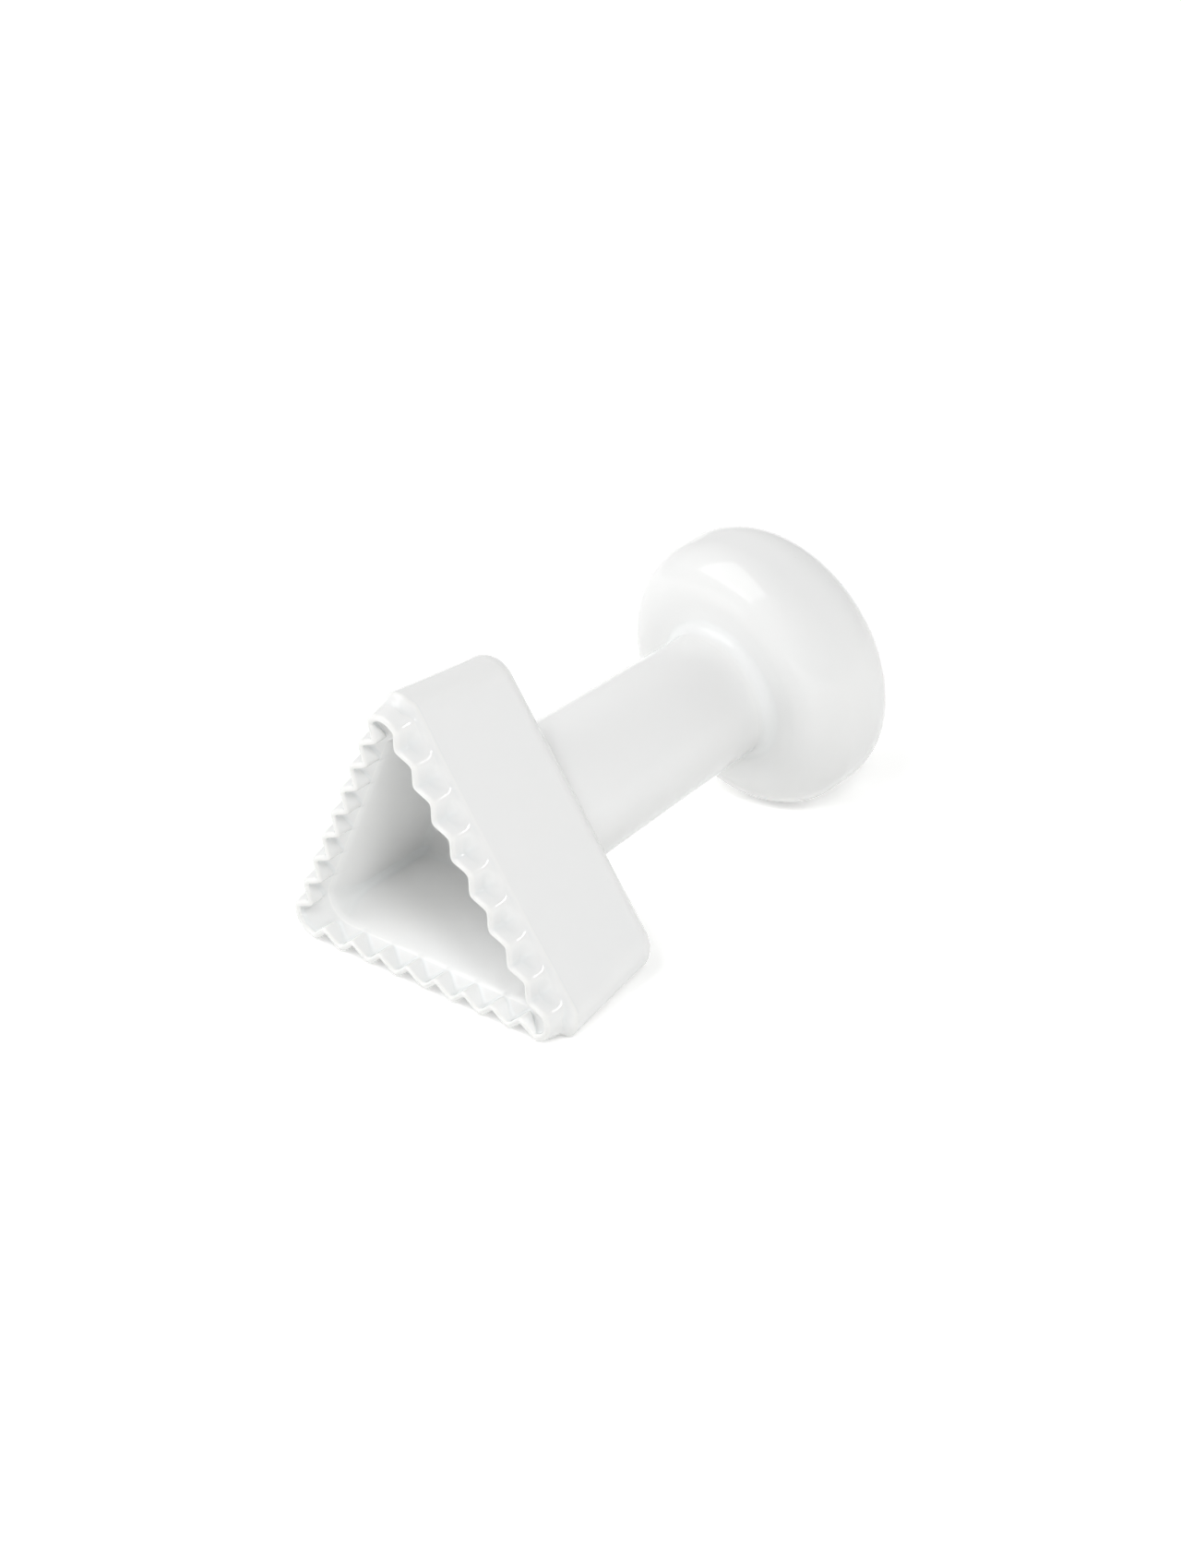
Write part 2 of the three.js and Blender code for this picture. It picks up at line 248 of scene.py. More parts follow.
def glazedPorcelain(name, look):
    material = bpy.data.materials.new(name)
    material.use_nodes = True
    tree = material.node_tree
    tree.nodes.clear()
    place = addNode(tree, "ShaderNodeTexCoord").outputs["Object"]
    # share of the pooled tint, which also paints shade into creases
    poolAndShade = addNode(tree, "ShaderNodeAttribute", {"attribute_name": "glazePoolAndShade"}).outputs["Fac"]
    thin = addNode(tree, "ShaderNodeAttribute", {"attribute_name": "glazeThin"}).outputs["Fac"]
    clouds = addNode(tree, "ShaderNodeTexNoise", None,
                     {"Vector": place, "Scale": 1 / (look["cloudSize"] * mm), "Detail": 2.0})
    cells = addNode(tree, "ShaderNodeTexVoronoi", None,
                    {"Vector": place, "Scale": 1 / (look["speckSpacing"] * mm)})
    speckEdge = look["speckRadius"] / look["speckSpacing"]
    speck = addNode(tree, "ShaderNodeMapRange", {"interpolation_type": "SMOOTHSTEP"},
                    {"Value": cells.outputs["Distance"], "From Min": speckEdge,
                     "From Max": look["speckCore"] * speckEdge, "To Max": look["speckStrength"]})
    colour = linearColour(look["body"])
    for share, tint in ((clouds.outputs["Fac"], "cloud"), (poolAndShade, "pooledAndShade"), (thin, "thinned"),
                        (speck.outputs["Result"], "speck")):
        mixed = addNode(tree, "ShaderNodeMixRGB", None,
                        {"Fac": share, "Color1": colour, "Color2": linearColour(look[tint])})
        colour = mixed.outputs["Color"]
    smear = addNode(tree, "ShaderNodeTexNoise", None,
                    {"Vector": place, "Scale": 1 / (look["smearSize"] * mm), "Detail": 3.0})
    gloss = addNode(tree, "ShaderNodeMapRange", None,
                    {"Value": smear.outputs["Fac"],
                     "From Min": look["smearRange"][0], "From Max": look["smearRange"][1],
                     "To Min": look["roughness"][0], "To Max": look["roughness"][1]})
    peel = addNode(tree, "ShaderNodeTexNoise", None,
                   {"Vector": place, "Scale": 1 / (look["peelSize"] * mm), "Detail": 1.0})
    bump = addNode(tree, "ShaderNodeBump", None,
                   {"Height": peel.outputs["Fac"], "Strength": 1.0, "Distance": look["peelHeight"] * mm})
    shader = addNode(tree, "ShaderNodeBsdfPrincipled", None,
                     {"Base Color": colour, "Roughness": gloss.outputs["Result"], "IOR": look["ior"],
                      "Normal": bump.outputs["Normal"]})
    addNode(tree, "ShaderNodeOutputMaterial", None, {"Surface": shader.outputs["BSDF"]})
    return material


# Biscuit porcelain: the fired body left bare, as on a foot that stood on the kiln shelf. The eye gets a
# dull, faintly warm white with a fine grain, drawn coarser than it is so that it shows.
biscuitLook = {
    "light": "#efece4",
    "dark": "#ddd7cb",
    "grainSize": 0.5,
    "grainHeight": 0.02,
    "roughness": 0.8,
    "ior": 1.5,
}


def biscuitPorcelain(name, look):
    material = bpy.data.materials.new(name)
    material.use_nodes = True
    tree = material.node_tree
    tree.nodes.clear()
    place = addNode(tree, "ShaderNodeTexCoord").outputs["Object"]
    grain = addNode(tree, "ShaderNodeTexNoise", None,
                    {"Vector": place, "Scale": 1 / (look["grainSize"] * mm), "Detail": 3.0})
    colour = addNode(tree, "ShaderNodeMixRGB", None,
                     {"Fac": grain.outputs["Fac"], "Color1": linearColour(look["light"]),
                      "Color2": linearColour(look["dark"])})
    bump = addNode(tree, "ShaderNodeBump", None,
                   {"Height": grain.outputs["Fac"], "Strength": 1.0, "Distance": look["grainHeight"] * mm})
    shader = addNode(tree, "ShaderNodeBsdfPrincipled", None,
                     {"Base Color": colour.outputs["Color"], "Roughness": look["roughness"],
                      "IOR": look["ior"], "Normal": bump.outputs["Normal"]})
    addNode(tree, "ShaderNodeOutputMaterial", None, {"Surface": shader.outputs["BSDF"]})
    return material


porcelain = glazedPorcelain("glazed_white_porcelain", porcelainLook)
slipGlaze = glazedPorcelain("glazed_porcelain_slip", {**porcelainLook, "peelSize": 2.6, "peelHeight": 0.01})
biscuit = biscuitPorcelain("biscuit_porcelain", biscuitLook)
print("made materials:", porcelain.name, slipGlaze.name, biscuit.name)


# Cup with the zigzag rim

cup = {
    "height": 28.1,  # rim plane to the flat back
    "shoulderHeight": 4.6,  # rim plane to the widest line
    "shoulderInradius": 20.7,  # axis to a flat side, at the shoulder
    "shoulderCorner": 4.0,
    "shoulderSoft": 0.9,  # rounding of the shoulder's edge
    "wallDraft": 1.0,  # how much narrower each side is at the back
    "backCorner": 5.3,
    "backEdge": 4.1,  # rounding of the edge round the back
    "floorThickness": 2.2,
    "wall": 4.4,  # at the shoulder
    "cavityDraft": 1.7,  # how much narrower each side of the cavity is at its floor
    "draftCurve": 3.5,  # 1 is a straight wall, more draws it in sooner behind the mouth
    "chamferCorner": 4.8,  # where the cavity's chamfer opens at the rim
    "mouthCorner": 4.4,  # where the chamfer ends
    "cavityCorner": 0.9,  # deeper than cornerDepth, where the corner has become a crease
    "cornerDepth": 13.0,
    "cavityFillet": 1.5,
    "floorRings": (0.3, 0.6),  # rows on the cavity's floor, as shares of the way to the axis
    "sharpestCorner": 0.5,
    "bossRadius": 7.7,
    "bossHeight": 4.0,
    "bossChamfer": 0.6,
    "steps": {"back": 4, "backEdge": 14, "wall": 8, "band": 39, "edge": 8, "chamfer": 43, "cavity": 19,
              "fillet": 12},
}
rim = {
    "teethPerSide": 8,
    "inradius": 19.7,  # axis to the peaks of a side
    "corner": 4.3,
    "cornerWrap": 0.7,  # how far the last peak of a side reaches into the corner
    "toothDepth": 2.05,
    "wall": 1.15,
    "flare": 0.95,  # how far the peaks lean out from the rim to the shoulder
    "bandRise": 2.2,  # how far past the shoulder the fine rows go
    "rampSlope": 1.5,  # run of the ledge under the shoulder's corners, over its rise
    "ledgeDrop": 0.5,  # how far inside the shoulder it starts, along the sides
    "scoopStart": 2.1,  # height at which the valleys begin to run out
    "scoopEnd": 4.9,  # height at which they are gone
    "chamferHeight": 3.6,
    "chamferPower": 1.25,
    "peakRounding": 0.72,  # 0 gives a sine wave, 1 a sharp zigzag: outer peaks
    "valleyRounding": 0.94,  # the same for the outer valleys
    "flutePeakRounding": 0.86,  # and for the same wave seen from inside
    "fluteValleyRounding": 0.86,
    "edgeRound": 0.45,  # rounding of the rim's inner edge
    "outerEdgeRound": 0.6,
    "ledgeSoft": 0.8,  # glaze lying in the crease under the shoulder
    "chamferSoft": 0.5,
    "mouthSoft": 1.0,  # rounding from the chamfer into the cavity's wall
    "toothSteps": 22,
    "cornerSteps": 24,
}

# Columns of the cup's grid: for each side its toothed stretch, from -1 to 1, then the corner, from 0 to 1.
toothColumns = rim["teethPerSide"] * rim["toothSteps"]
sideColumns = toothColumns + rim["cornerSteps"]
sideShare = np.tile(np.append(np.arange(toothColumns) / toothColumns * 2 - 1,
                              np.arange(rim["cornerSteps"]) / rim["cornerSteps"]), 3)
isTooth = np.tile(np.arange(sideColumns) < toothColumns, 3)
sideNumber = np.repeat(np.arange(3), sideColumns)


# Tooth wave: 0 on a peak, 1 in a valley. It is the arc sine of a cosine, which a rounding factor bends
# between a sine wave and a zigzag, with one factor for the peaks and one for the valleys.
def toothWave(peakRounding, valleyRounding):
    phase = (sideShare + 1) / 2 * rim["teethPerSide"]
    swing = np.cos(2 * np.pi * phase)
    rounding = np.where(swing > 0, peakRounding, valleyRounding)
    height = np.arcsin(rounding * swing) / rounding
    peak = math.asin(peakRounding) / peakRounding
    valley = math.asin(valleyRounding) / valleyRounding
    return np.where(isTooth, (peak - height) / (peak + valley), 0)


outerWave = toothWave(rim["peakRounding"], rim["valleyRounding"])
innerWave = toothWave(rim["flutePeakRounding"], rim["fluteValleyRounding"])
rimHalf = root3 * (rim["inradius"] - rim["corner"]) + rim["corner"] * math.pi / 3
toothedHalf = root3 * (rim["inradius"] - rim["corner"]) + rim["cornerWrap"]


# A rounded triangle moved in by inset, at a height. Each column keeps its length along the side where
# keepPitch holds, and its share of the outline where it doesn't.
def outlineRow(inradius, corner, height, inset=0.0, keepPitch=True):
    straight = root3 * (inradius - corner)
    half = straight + corner * math.pi / 3
    toothed = toothedHalf if keepPitch else toothedHalf * half / rimHalf
    along = np.where(isTooth, toothed * sideShare, toothed + (half - toothed) * 2 * sideShare)
    past = along > half
    along = np.where(past, along - 2 * half, along)
    onSide = np.clip(along, -straight, straight)
    turn = (along - onSide) / corner
    innerCorner = np.maximum(corner - inset, min(corner, cup["sharpestCorner"]))
    innerStraight = root3 * (inradius - inset - innerCorner)
    across = onSide * innerStraight / max(straight, 1e-9) + innerCorner * np.sin(turn)
    out = inradius - inset - innerCorner + innerCorner * np.cos(turn)
    angle = -(sideNumber + past) * 2 * np.pi / 3
    x = across * np.cos(angle) - out * np.sin(angle)
    y = across * np.sin(angle) + out * np.cos(angle)
    return np.stack([x, y, np.full_like(x, height)], -1)


# Two rows joined by the larger or smaller reach from the axis, with a soft crease.
def joinedRow(one, two, blend, outermost):
    reachOne = np.linalg.norm(one[:, :2], axis=1)
    reachTwo = np.linalg.norm(two[:, :2], axis=1)
    reach = (softMax if outermost else softMin)(reachOne, reachTwo, blend)
    lead = (reachOne - reachTwo) / blend * (1 if outermost else -1)
    share = np.clip(0.5 + 0.5 * lead, 0, 1)
    mixed = one * share[:, None] + two * (1 - share[:, None])
    mixed[:, :2] *= (reach / np.linalg.norm(mixed[:, :2], axis=1))[:, None]
    return mixed


# Outside at a height: the leaning band, or the ledge where it stands further out, and both cut back to
# the wall. The valleys are scooped out of all three and run out as half a cosine wave.
def outerRow(height, edgeInset=0.0):
    runOut = np.clip((height - rim["scoopStart"]) / (rim["scoopEnd"] - rim["scoopStart"]), 0, 1)
    inset = outerWave * rim["toothDepth"] * (0.5 + 0.5 * math.cos(math.pi * runOut)) + edgeInset
    lean = rim["flare"] * height / cup["shoulderHeight"]
    band = outlineRow(rim["inradius"] + lean, rim["corner"] + lean, height, inset)
    drawnIn = rim["rampSlope"] * (cup["shoulderHeight"] - height)
    ledge = outlineRow(cup["shoulderInradius"] - rim["ledgeDrop"],
                       cup["shoulderCorner"] - 2 * rim["ledgeDrop"], height, inset + drawnIn)
    wallTop = cup["height"] - cup["backEdge"]
    share = (height - cup["shoulderHeight"]) / (wallTop - cup["shoulderHeight"])
    wall = outlineRow(cup["shoulderInradius"] - cup["wallDraft"] * share,
                      cup["shoulderCorner"] + (cup["backCorner"] - cup["shoulderCorner"]) * share,
                      height, inset)
    return joinedRow(joinedRow(band, ledge, rim["ledgeSoft"], True), wall, cup["shoulderSoft"], False)


# A rounded triangle at a height, met by the rays from the axis through another row's points. A ray meets a
# side at inradius over the cosine of its angle to that side's middle, and the round of a corner past that.
def rayRow(inradius, corner, height, through):
    turn = np.arctan2(through[:, 0], through[:, 1])
    fromMiddle = (turn + np.pi / 3) % (2 * np.pi / 3) - np.pi / 3
    fromCorner = np.pi / 3 - np.abs(fromMiddle)
    centre = 2 * (inradius - corner)
    onRound = np.abs(fromMiddle) > math.atan2(root3 * (inradius - corner), inradius)
    roundReach = centre * np.cos(fromCorner) + np.sqrt(
        np.maximum(corner**2 - (centre * np.sin(fromCorner)) ** 2, 0))
    reach = np.where(onRound, roundReach, inradius / np.cos(fromMiddle))
    return np.stack([reach * np.sin(turn), reach * np.cos(turn), np.full_like(reach, height)], -1)


# Inside at a height: the teeth from behind, or the chamfer where it stands further in. The chamfer is the
# side of a rounded square, chamferPower 2 making it round and 1 flat, and turns softly into the wall. The
# draft still to come there is the power draftCurve of the share of the way that is left to the floor.
def innerRow(height, edgeInset=0.0):
    mouth = cup["shoulderInradius"] - cup["wall"]
    share = np.clip(height / rim["chamferHeight"], 0, 1) ** rim["chamferPower"]
    opened = rim["chamferHeight"] * (1 - share) ** (1 / rim["chamferPower"])
    past = height - rim["chamferHeight"]
    draftHeight = cup["height"] - cup["floorThickness"] - cup["cavityFillet"] - rim["chamferHeight"]
    drawnIn = cup["cavityDraft"] * (1 - (1 - past / draftHeight) ** cup["draftCurve"])
    inradius = mouth + softMax(opened - max(past, 0), -drawnIn, rim["mouthSoft"])
    teeth = outlineRow(rim["inradius"], rim["corner"], height,
                       rim["wall"] + innerWave * rim["toothDepth"] - edgeInset)
    shrunk = min(max(past, 0) / (cup["cornerDepth"] - rim["chamferHeight"]), 1)
    corner = cup["cavityCorner"] + (cup["mouthCorner"] - cup["cavityCorner"]) * (1 - shrunk) ** 2
    corner += (cup["chamferCorner"] - cup["mouthCorner"]) * max(-past, 0) / rim["chamferHeight"]
    sharp = outlineRow(rim["inradius"], rim["corner"], height, rim["inradius"] - inradius)
    return joinedRow(teeth, rayRow(inradius, corner, height, sharp), rim["chamferSoft"], False)


# Rows of the cup from the middle of its back, down the outside, round the rim and into the cavity.
def cupGrid():
    steps = cup["steps"]
    bossTop = cup["height"] + cup["bossHeight"]
    bossEdge = cup["bossRadius"] - cup["bossChamfer"]
    rows = [outlineRow(bossEdge, bossEdge, bossTop, 0.0, False)]
    rows += [outlineRow(cup["bossRadius"], cup["bossRadius"], height, 0.0, False)
             for height in (bossTop - cup["bossChamfer"], cup["height"])]
    backInradius = cup["shoulderInradius"] - cup["wallDraft"]
    wallTop = cup["height"] - cup["backEdge"]
    arc = arcPoints(cup["backEdge"], wallTop, cup["backEdge"], 90, 180, steps["backEdge"])
    boss, edge = rows[-1], outlineRow(backInradius, cup["backCorner"], cup["height"], arc[0, 0], False)
    rows += [boss * (1 - share) + edge * share for share in np.linspace(0, 1, steps["back"] + 1)[1:-1]]
    rows += [outlineRow(backInradius, cup["backCorner"], height, inset, False) for inset, height in arc]
    bandTop = cup["shoulderHeight"] + rim["bandRise"]
    foot, flat = rows[-1], outerRow(bandTop)
    rows += [foot * (1 - share) + flat * share for share in np.linspace(0, 1, steps["wall"] + 1)[1:-1]]
    outer, inner = rim["outerEdgeRound"], rim["edgeRound"]
    rows += [outerRow(height) for height in np.linspace(bandTop, outer, steps["band"] + 1)]
    quarter = np.radians(np.linspace(0, 90, steps["edge"] + 1)[1:])
    rows += [outerRow(outer * (1 - math.sin(turn)), outer * (1 - math.cos(turn))) for turn in quarter]
    rows += [innerRow(inner * (1 - math.sin(turn)), inner * (1 - math.cos(turn))) for turn in quarter[::-1]]
    chamferEnd = rim["chamferHeight"] + rim["mouthSoft"]
    rows += [innerRow(height) for height in np.linspace(inner, chamferEnd, steps["chamfer"] + 1)]
    floorHeight = cup["height"] - cup["floorThickness"]
    filletFoot = floorHeight - cup["cavityFillet"]
    rows += [innerRow(height) for height in np.linspace(chamferEnd, filletFoot, steps["cavity"] + 1)[1:]]
    floorInradius = cup["shoulderInradius"] - cup["wall"] - cup["cavityDraft"]
    fillet = arcPoints(cup["cavityFillet"], filletFoot, cup["cavityFillet"], 180, 90, steps["fillet"])[1:]
    wallFoot = rows[-1]
    rows += [rayRow(floorInradius - inset, max(cup["cavityCorner"] - inset, cup["sharpestCorner"]), height,
                    wallFoot) for inset, height in fillet]
    floorEdge = rows[-1]
    rows += [floorEdge * [1 - share, 1 - share, 1] for share in cup["floorRings"]]
    return np.array(rows), (bossTop, floorHeight)


# The stamp lies on the shoulder of one flat side: its height follows from that side's reach there.
restHeights = np.linspace(2, 8, 61)  # heights round the shoulder, one of which touches the floor
turnedRows = (outerRow(height) @ np.stack([stampAcross, stampDown, stampAxis]) for height in restHeights)
lowest = min(row[:, 2].min() for row in turnedRows)
rimPlane = np.array(rimMount["pos_m"]) / mm @ stampAxis
rimCentre = np.array([0, (rimPlane + lowest * stampAxis[2]) / stampAxis[1], -lowest])
print("rim centre, mm:", rimCentre.round(3).tolist())

cupRows, cupEnds = cupGrid()
cutterCup = gridPiece("porcelain_cutter_cup", cupRows, [porcelain], cupEnds)


# Stem and slip

stem = {
    "length": 46.5,  # back of the cup to the neck of the knob
    "footRadius": 13.3,
    "topRadius": 11.7,
    "bore": 8.0,
    "columns": 220,
    "steps": {"end": 3, "side": 60, "bore": 6},
}
slip = {
    "ringHeight": 1.1,  # ring of slip under the knob's neck
    "beadSize": 1.9,  # hollow radius of the bead round the foot
    "beadLap": 0.3,  # how far the bead reaches into stem and cup, so that no gap shows
    "beadProud": 0.02,  # how far its edges stand off both
    "beadWander": 0.12,  # unevenness of a bead that was smoothed by finger
    "beadWaves": ((3, 0.7, 1.0), (7, 2.1, 0.6)),  # waves in one turn, phase and size
    "beadStill": 3,  # steps at each edge of the bead that don't wander
    "steps": {"bead": 20, "ring": 20},
}
neckHeight = cup["height"] + stem["length"]
stemTop = neckHeight - slip["ringHeight"]


# The stem narrows in a straight line from its foot on the cup to the neck of the knob.
def stemRadiusAt(height):
    share = (height - cup["height"]) / stem["length"]
    return stem["footRadius"] + (stem["topRadius"] - stem["footRadius"]) * share


# A tube: out along its foot, up the tapered side, in over its top and down the bore.
def stemProfile():
    foot, top, steps = cup["height"], stemTop, stem["steps"]
    return np.vstack([
        linePoints((stem["bore"], foot), (stemRadiusAt(foot), foot), steps["end"])[:-1],
        linePoints((stemRadiusAt(foot), foot), (stemRadiusAt(top), top), steps["side"]),
        linePoints((stem["bore"], top), (stem["bore"], foot), steps["bore"])[:-1],
    ])


# The bead fills the corner between stem and cup: a hollow arc outside, and inside a lap into both.
def beadProfile():
    foot, top = cup["height"], cup["height"] + slip["beadSize"]
    centre = stemRadiusAt(top) + slip["beadSize"] + slip["beadProud"]
    return np.vstack([
        arcPoints(centre, top + slip["beadProud"], slip["beadSize"], 270, 180, slip["steps"]["bead"]),
        [(stemRadiusAt(top) - slip["beadLap"], top + slip["beadProud"])],
        [(stemRadiusAt(foot) - slip["beadLap"], foot - slip["beadLap"])],
        [(centre, foot - slip["beadLap"])],
    ])


# The ring carries the stem's taper on to the neck.
def ringProfile():
    height = np.linspace(stemTop, neckHeight, slip["steps"]["ring"] + 1)
    outside = np.stack([stemRadiusAt(height), height], -1)
    return np.vstack([[(stem["bore"], stemTop)], outside, [(stem["bore"], neckHeight)]])


# The bead wanders by a few waves round the stem, least at its edges, as half a sine wave along its arc.
def wanderedBead(grid):
    turn = np.linspace(0, 2 * np.pi, stem["columns"], endpoint=False)
    waves = sum(size * np.sin(count * turn + phase) for count, phase, size in slip["beadWaves"])
    wander = slip["beadWander"] * waves / sum(size for count, phase, size in slip["beadWaves"])
    outward = wander[:, None] * np.stack([np.cos(turn), np.sin(turn), np.ones_like(turn)], -1)
    moved = slice(slip["beadStill"], slip["steps"]["bead"] + 1 - slip["beadStill"])
    fade = np.sin(np.linspace(0, np.pi, moved.stop - moved.start))
    grid[moved] += outward[None] * fade[:, None, None]
    return grid


stemPiece = gridPiece("porcelain_stem", turnedGrid(stemProfile(), stem["columns"]), [porcelain])
beadPiece = gridPiece("slip_bead", wanderedBead(turnedGrid(beadProfile(), stem["columns"])), [slipGlaze])
ringPiece = gridPiece("slip_ring", turnedGrid(ringProfile(), stem["columns"]), [slipGlaze])


# Knob

knob = {
    "radius": 24.94,
    "neckRound": 2.0,  # hollow rounding between the neck and the knob's face
    "frontRound": 7.74,  # rounding of the front lip
    "side": 3.7,  # straight height of the side
    "backRound": 9.5,
    "wall": 5.0,
    "throat": 5.5,  # radius of the hollow through the spigot
    "spigotRadius": 7.7,
    "spigotLength": 4.0,
    "spigotChamfer": 0.6,
    "footWidth": 3.0,  # bare ring that the knob can stand on
    "footEdge": 0.2,  # how far the bare ring starts inside the rounded edge
    "footRecess": 0.8,
    "footSoft": 0.35,
    "ventRadius": 2.0,
    "columns": 280,
    "steps": {"neck": 18, "face": 7, "round": 30, "side": 8, "foot": 5, "soft": 5, "recess": 12,
              "hollow": 8},
}


# Profile from the spigot over the neck, face, lip, side and back edge to the foot, then over the recess,
# down the vent and through the hollow: straight lines and round arcs. The rows of the bare foot go with it.
def knobProfile():
    steps = knob["steps"]
    neck = stem["topRadius"]
    lip = knob["radius"] - knob["frontRound"]
    fillet = knob["neckRound"]
    face = neckHeight + fillet
    sideFoot = face + knob["frontRound"]
    sideTop = sideFoot + knob["side"]
    back = sideTop + knob["backRound"]
    footOuter = knob["radius"] - knob["backRound"]
    footInner = footOuter - knob["footWidth"]
    recess = back - knob["footRecess"]
    soft, vent = knob["footSoft"], knob["ventRadius"]
    hollow = knob["radius"] - knob["wall"]
    frontHollow = knob["frontRound"] - knob["wall"]
    backHollow = knob["backRound"] - knob["wall"]
    hollowFoot, hollowTop = face + knob["wall"], recess - knob["wall"]
    spigotFoot = neckHeight - knob["spigotLength"]
    front = [
        [(knob["throat"], spigotFoot), (knob["spigotRadius"] - knob["spigotChamfer"], spigotFoot)],
        [(knob["spigotRadius"], spigotFoot + knob["spigotChamfer"]), (knob["spigotRadius"], neckHeight)],
        arcPoints(neck + fillet, neckHeight, fillet, 180, 90, steps["neck"]),
        linePoints((neck + fillet, face), (lip, face), steps["face"])[1:-1],
        arcPoints(lip, sideFoot, knob["frontRound"], -90, 0, steps["round"]),
        linePoints((knob["radius"], sideFoot), (knob["radius"], sideTop), steps["side"])[1:],
        arcPoints(footOuter, sideTop, knob["backRound"], 0, 90, steps["round"])[1:],
    ]
    foot = linePoints((footOuter - knob["footEdge"], back), (footInner + soft, back), steps["foot"])
    behind = [
        arcPoints(footInner + soft, back - soft, soft, 90, 180, steps["soft"])[1:],
        arcPoints(footInner - soft, recess + soft, soft, 0, -90, steps["soft"]),
        linePoints((footInner - 2 * soft, recess), (vent + soft, recess), steps["recess"]),
        arcPoints(vent + soft, recess - soft, soft, 90, 180, steps["soft"])[1:],
        [(vent, hollowTop)],
        arcPoints(hollow - backHollow, hollowTop - backHollow, backHollow, 90, 0, steps["hollow"]),
        arcPoints(hollow - frontHollow, hollowFoot + frontHollow, frontHollow, 0, -90, steps["hollow"]),
        [(knob["throat"], hollowFoot)],
    ]
    footStart = sum(len(part) for part in front)
    return np.vstack([*front, foot, *behind]), range(footStart, footStart + len(foot) - 1)


knobPoints, footRows = knobProfile()
knobPiece = gridPiece("porcelain_knob", turnedGrid(knobPoints, knob["columns"]), [porcelain, biscuit],
                      None, footRows)

for piece, node, slot in ((cutterCup, "cutter_cup", "glazed_porcelain"),
                          (beadPiece, "cup_luting_bead", "glazed_slip"),
                          (stemPiece, "stem", "glazed_porcelain"),
                          (ringPiece, "knob_luting_ring", "glazed_slip"),
                          (knobPiece, "knob", "glazed_porcelain")):
    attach(piece, "root")
    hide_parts(node)


# Floor, light and camera

floorLook = {"size": 1.6, "colour": "#f6f6f5", "glow": 0.34}


# Matt pale board: to the camera and in the glaze it glows towards white, and it still takes the shadow.
def floorMaterial(look):
    material = bpy.data.materials.new("pale_matt_board")
    material.use_nodes = True
    tree = material.node_tree
    tree.nodes.clear()
    ray = addNode(tree, "ShaderNodeLightPath").outputs
    seen = addNode(tree, "ShaderNodeMath", {"operation": "MAXIMUM"},
                   {0: ray["Is Camera Ray"], 1: ray["Is Glossy Ray"]}).outputs["Value"]
    board = addNode(tree, "ShaderNodeBsdfDiffuse", None,
                    {"Color": linearColour(look["colour"])}).outputs["BSDF"]
    glow = addNode(tree, "ShaderNodeEmission", None,
                   {"Color": (1, 1, 1, 1), "Strength": look["glow"]}).outputs["Emission"]
    glowing = addNode(tree, "ShaderNodeAddShader", None, {0: board, 1: glow}).outputs["Shader"]
    mixed = addNode(tree, "ShaderNodeMixShader", None, {0: seen, 1: board, 2: glowing})
    addNode(tree, "ShaderNodeOutputMaterial", None, {"Surface": mixed.outputs["Shader"]})
    return material


half = floorLook["size"] / 2
floorMesh = bpy.data.meshes.new("floor")
floorMesh.from_pydata([(-half, -half, 0), (half, -half, 0), (half, half, 0), (-half, half, 0)], [],
                      [(0, 1, 2, 3)])
floorMesh.materials.append(floorMaterial(floorLook))
floor = bpy.data.objects.new("floor", floorMesh)
bpy.context.scene.collection.objects.link(floor)


# Direction from the stamp, by azimuth as for the views (0 is the open side, 90 its right) and elevation.
def directionOf(azimuth, elevation):
    turn, rise = math.radians(azimuth), math.radians(elevation)
    return Vector((math.sin(turn) * math.cos(rise), -math.cos(turn) * math.cos(rise), math.sin(rise)))


# Panels round the stamp, as in a light tent. The glaze mirrors the soft box and the small lamp, while the
# tent's cloth hides the others. A lamp that lists what it lights is kept off the rest.
lamps = (
    {"name": "key_panel", "azimuth": 62, "elevation": 44, "size": 0.22, "power": 3.4, "mirrored": False},
    {"name": "top_panel", "azimuth": 30, "elevation": 50, "size": 0.3, "power": 2.6, "mirrored": False},
    {"name": "low_panel", "azimuth": 60, "elevation": 10, "size": 0.8, "power": 3.9, "mirrored": False},
    {"name": "soft_box", "azimuth": -38, "elevation": 48, "size": 1.05, "power": 5.7, "mirrored": True},
    {"name": "left_panel", "azimuth": -60, "elevation": 15, "size": 0.8, "power": 5.6, "mirrored": False},
    {"name": "far_panel", "azimuth": 157, "elevation": 18, "size": 0.8, "power": 4.8, "mirrored": False},
    {"name": "back_panel", "azimuth": 240, "elevation": 40, "size": 0.8, "power": 3.6, "mirrored": False},
    {"name": "small_lamp", "azimuth": 100, "elevation": 34, "size": 0.11, "power": 0.9, "mirrored": True,
     "lights": [cutterCup]},
    {"name": "grip_panel", "azimuth": 100, "elevation": 34, "size": 0.3, "power": 1.0, "mirrored": False,
     "lights": [beadPiece, stemPiece, ringPiece, knobPiece, floor]},
)
tent = {"lampDistance": 1.2, "middle": Vector((0, 0, 0.025))}  # metres, lamps aim at the middle
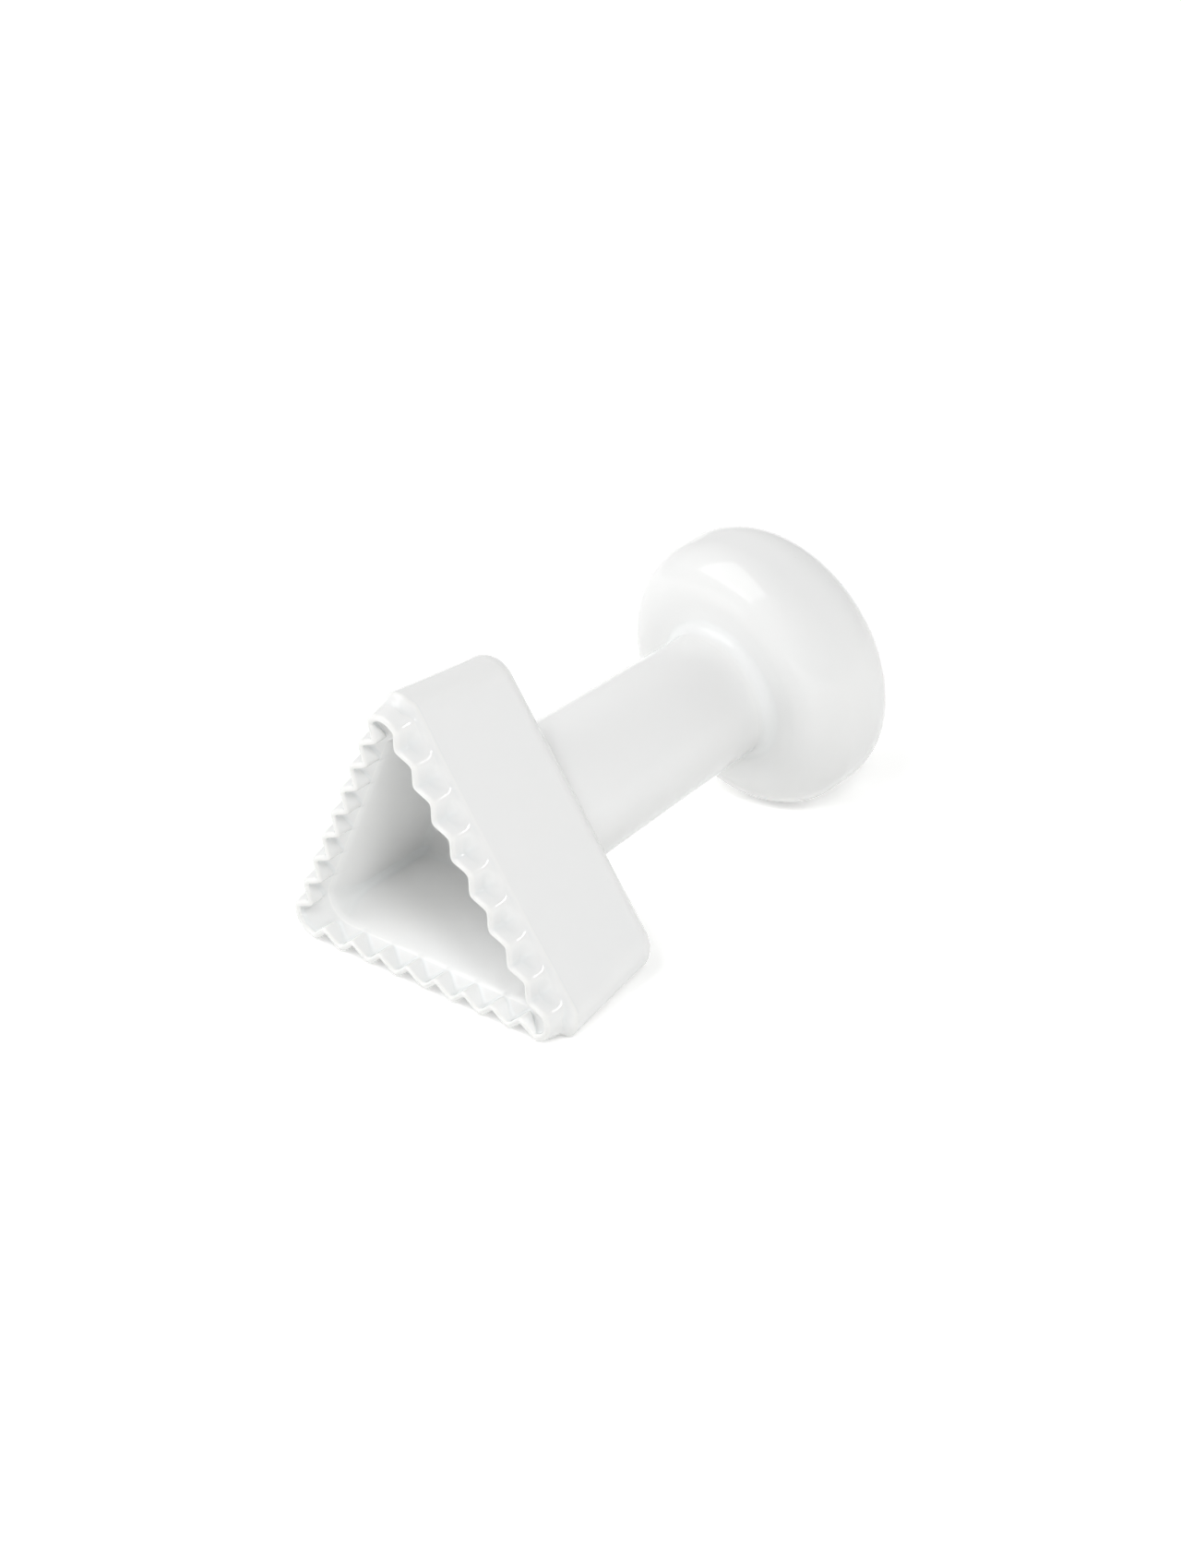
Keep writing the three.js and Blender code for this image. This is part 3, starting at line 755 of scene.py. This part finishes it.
for lamp in lamps:
    data = bpy.data.lights.new(lamp["name"], "AREA")
    data.shape = "SQUARE"
    data.size = lamp["size"]
    data.energy = lamp["power"]
    panel = bpy.data.objects.new(lamp["name"], data)
    back = directionOf(lamp["azimuth"], lamp["elevation"])
    panel.location = back * tent["lampDistance"] + tent["middle"]
    panel.rotation_mode = "QUATERNION"
    panel.rotation_quaternion = (-back).to_track_quat("-Z", "Y")
    panel.visible_glossy = lamp["mirrored"]
    if "lights" in lamp:
        lit = bpy.data.collections.new("lit_by_" + lamp["name"])
        for thing in lamp["lights"]:
            lit.objects.link(thing)
        panel.light_linking.receiver_collection = lit
    bpy.context.scene.collection.objects.link(panel)

# The tent's cloth: white to the camera, a little greyer in the glaze and dim as a light.
room = {"cloth": 1.0, "mirrored": 0.85, "light": 0.02}
world = bpy.data.worlds.new("white_tent")
world.use_nodes = True
bpy.context.scene.world = world
worldTree = world.node_tree
worldTree.nodes.clear()
ray = addNode(worldTree, "ShaderNodeLightPath").outputs
glossy = addNode(worldTree, "ShaderNodeMapRange", None,
                 {"Value": ray["Is Glossy Ray"], "To Min": room["light"], "To Max": room["mirrored"]})
strength = addNode(worldTree, "ShaderNodeMapRange", None,
                   {"Value": ray["Is Camera Ray"], "To Min": glossy.outputs["Result"],
                    "To Max": room["cloth"]})
cloth = addNode(worldTree, "ShaderNodeBackground", None,
                {"Color": (1, 1, 1, 1), "Strength": strength.outputs["Result"]})
addNode(worldTree, "ShaderNodeOutputWorld", None, {"Surface": cloth.outputs["Background"]})

view = {
    "azimuth": 47.874,
    "elevation": 30.115,
    "roll": 5.609,  # degrees that the camera leans to its right
    "distance": 1536.4,  # millimetres, as lookAt
    "lookAt": (0.993, -5.181, 21.738),
    "lens": 205.88,
}
camera = bpy.data.objects.new("camera", bpy.data.cameras.new("camera"))
camera.data.lens = view["lens"]
back = directionOf(view["azimuth"], view["elevation"])
camera.rotation_mode = "QUATERNION"
lean = Matrix.Rotation(-math.radians(view["roll"]), 4, "Z")
camera.matrix_world = (-back).to_track_quat("-Z", "Y").to_matrix().to_4x4() @ lean
camera.location = Vector(view["lookAt"]) * mm + back * view["distance"] * mm
bpy.context.scene.collection.objects.link(camera)
bpy.context.scene.camera = camera
bpy.context.scene.view_settings.view_transform = "Standard"
print("lit and framed")
